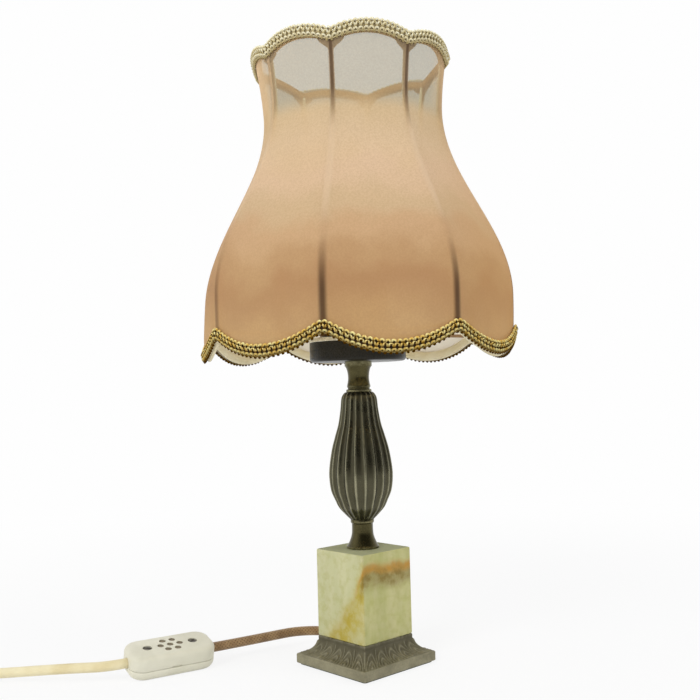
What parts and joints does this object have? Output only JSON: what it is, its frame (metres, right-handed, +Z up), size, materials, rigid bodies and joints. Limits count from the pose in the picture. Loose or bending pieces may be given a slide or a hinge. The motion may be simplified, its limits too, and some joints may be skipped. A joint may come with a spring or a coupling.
{
  "type": "bedside lamp",
  "caption": "Bedside lamp with a scalloped bell-shaped cloth shade on a wire frame, a fluted bronze stem, an onyx block, a moulded plinth and a cord with an in-line switch.",
  "frame": {"origin": "centre of the lamp's underside, on the table", "axes": "+Z up the stem, X and Y along the sides of the square plinth; the cord leaves through the +Y side"},
  "size_m": [0.4053, 0.2923, 0.3871],
  "materials": {
    "felt": "dense green felt",
    "plinth_metal": "cast, grey-bronze, satin",
    "steel": "plain",
    "onyx": "polished green onyx with orange-brown veins",
    "stem_metal": "dark bronze with bright worn ridges",
    "dish_black": "satin black",
    "rim_brass": "pale satin brass",
    "holder_plastic": "black moulded",
    "porcelain": "white glazed",
    "contact_brass": "bright",
    "bulb_metal": "plain",
    "bulb_glass": "opal",
    "frame_wire": "lacquered wire",
    "shade_cloth": "thin beige voile",
    "braid": "gold braid",
    "binding": "cream tape",
    "bush_rubber": "brown",
    "lead_brown": "insulated wire",
    "lead_cream": "insulated wire",
    "cord_gold": "golden brown flex",
    "cord_cream": "cream flex",
    "tie": "black strap",
    "switch_ivory": "ivory, satin",
    "screw_dark": "darkened",
    "rocker_brown": "brown",
    "plug_plastic": "cream"
  },
  "bodies": {
    "lamp": {"felt_pad": "felt", "base_plinth": "plinth_metal", "base_washer": "steel", "base_nut": "steel", "threaded_tube": "steel", "rocker_pin": "steel", "onyx_block": "onyx", "stem_foot": "stem_metal", "stem_body": "stem_metal", "stem_neck": "stem_metal", "drip_dish": "dish_black", "dish_rim": "rim_brass", "lampholder_cap": "holder_plastic", "lampholder_shell": "holder_plastic", "shade_ring": "holder_plastic", "socket_core": "porcelain", "socket_thread": "contact_brass", "centre_contact": "contact_brass", "switch_terminal_1": "contact_brass", "switch_terminal_2": "contact_brass", "plug_pin_1": "contact_brass", "plug_pin_2": "contact_brass", "cord_bush": "bush_rubber", "lead_wire_live": "lead_brown", "lead_wire_neutral": "lead_cream", "cord_lamp_side": "cord_gold", "cord_wall_side": "cord_cream", "cord_coil": "cord_cream", "coil_tie": "tie", "switch_upper_shell": "switch_ivory", "switch_lower_shell": "switch_ivory", "switch_screw_1": "screw_dark", "switch_screw_2": "screw_dark", "plug_body": "plug_plastic", "plug_relief": "plug_plastic"},
    "shade": {"fitter_ring": "frame_wire", "fitter_arm_1": "frame_wire", "fitter_arm_2": "frame_wire", "fitter_arm_3": "frame_wire", "fitter_arm_4": "frame_wire", "frame_bottom_ring": "frame_wire", "frame_top_ring": "frame_wire", "frame_rib_1": "frame_wire", "frame_rib_2": "frame_wire", "frame_rib_3": "frame_wire", "frame_rib_4": "frame_wire", "frame_rib_5": "frame_wire", "frame_rib_6": "frame_wire", "frame_rib_7": "frame_wire", "frame_rib_8": "frame_wire", "shade_cover": "shade_cloth", "top_braid": "braid", "bottom_braid": "braid", "top_binding": "binding", "bottom_binding": "binding"},
    "bulb": {"bulb_cap": "bulb_metal", "bulb_glass": "bulb_glass"},
    "rocker": {"switch_rocker": "rocker_brown"}
  },
  "joints": [
    {"name": "shade_turn", "type": "hinge", "parent": "lamp", "child": "shade", "pos_m": [0, 0, 0.20695], "axis": [0, 0, 1], "continuous": true},
    {"name": "bulb_lift", "type": "slide", "parent": "lamp", "child": "bulb", "axis": [0, 0, 1], "range_m": [0, 0.18]},
    {"name": "rocker_press", "type": "hinge", "parent": "lamp", "child": "rocker", "pos_m": [-0.09352, 0.07974, 0.006], "axis": [0.1859, 0.9565, 0.225], "range_deg": [0, 16]}
  ]
}
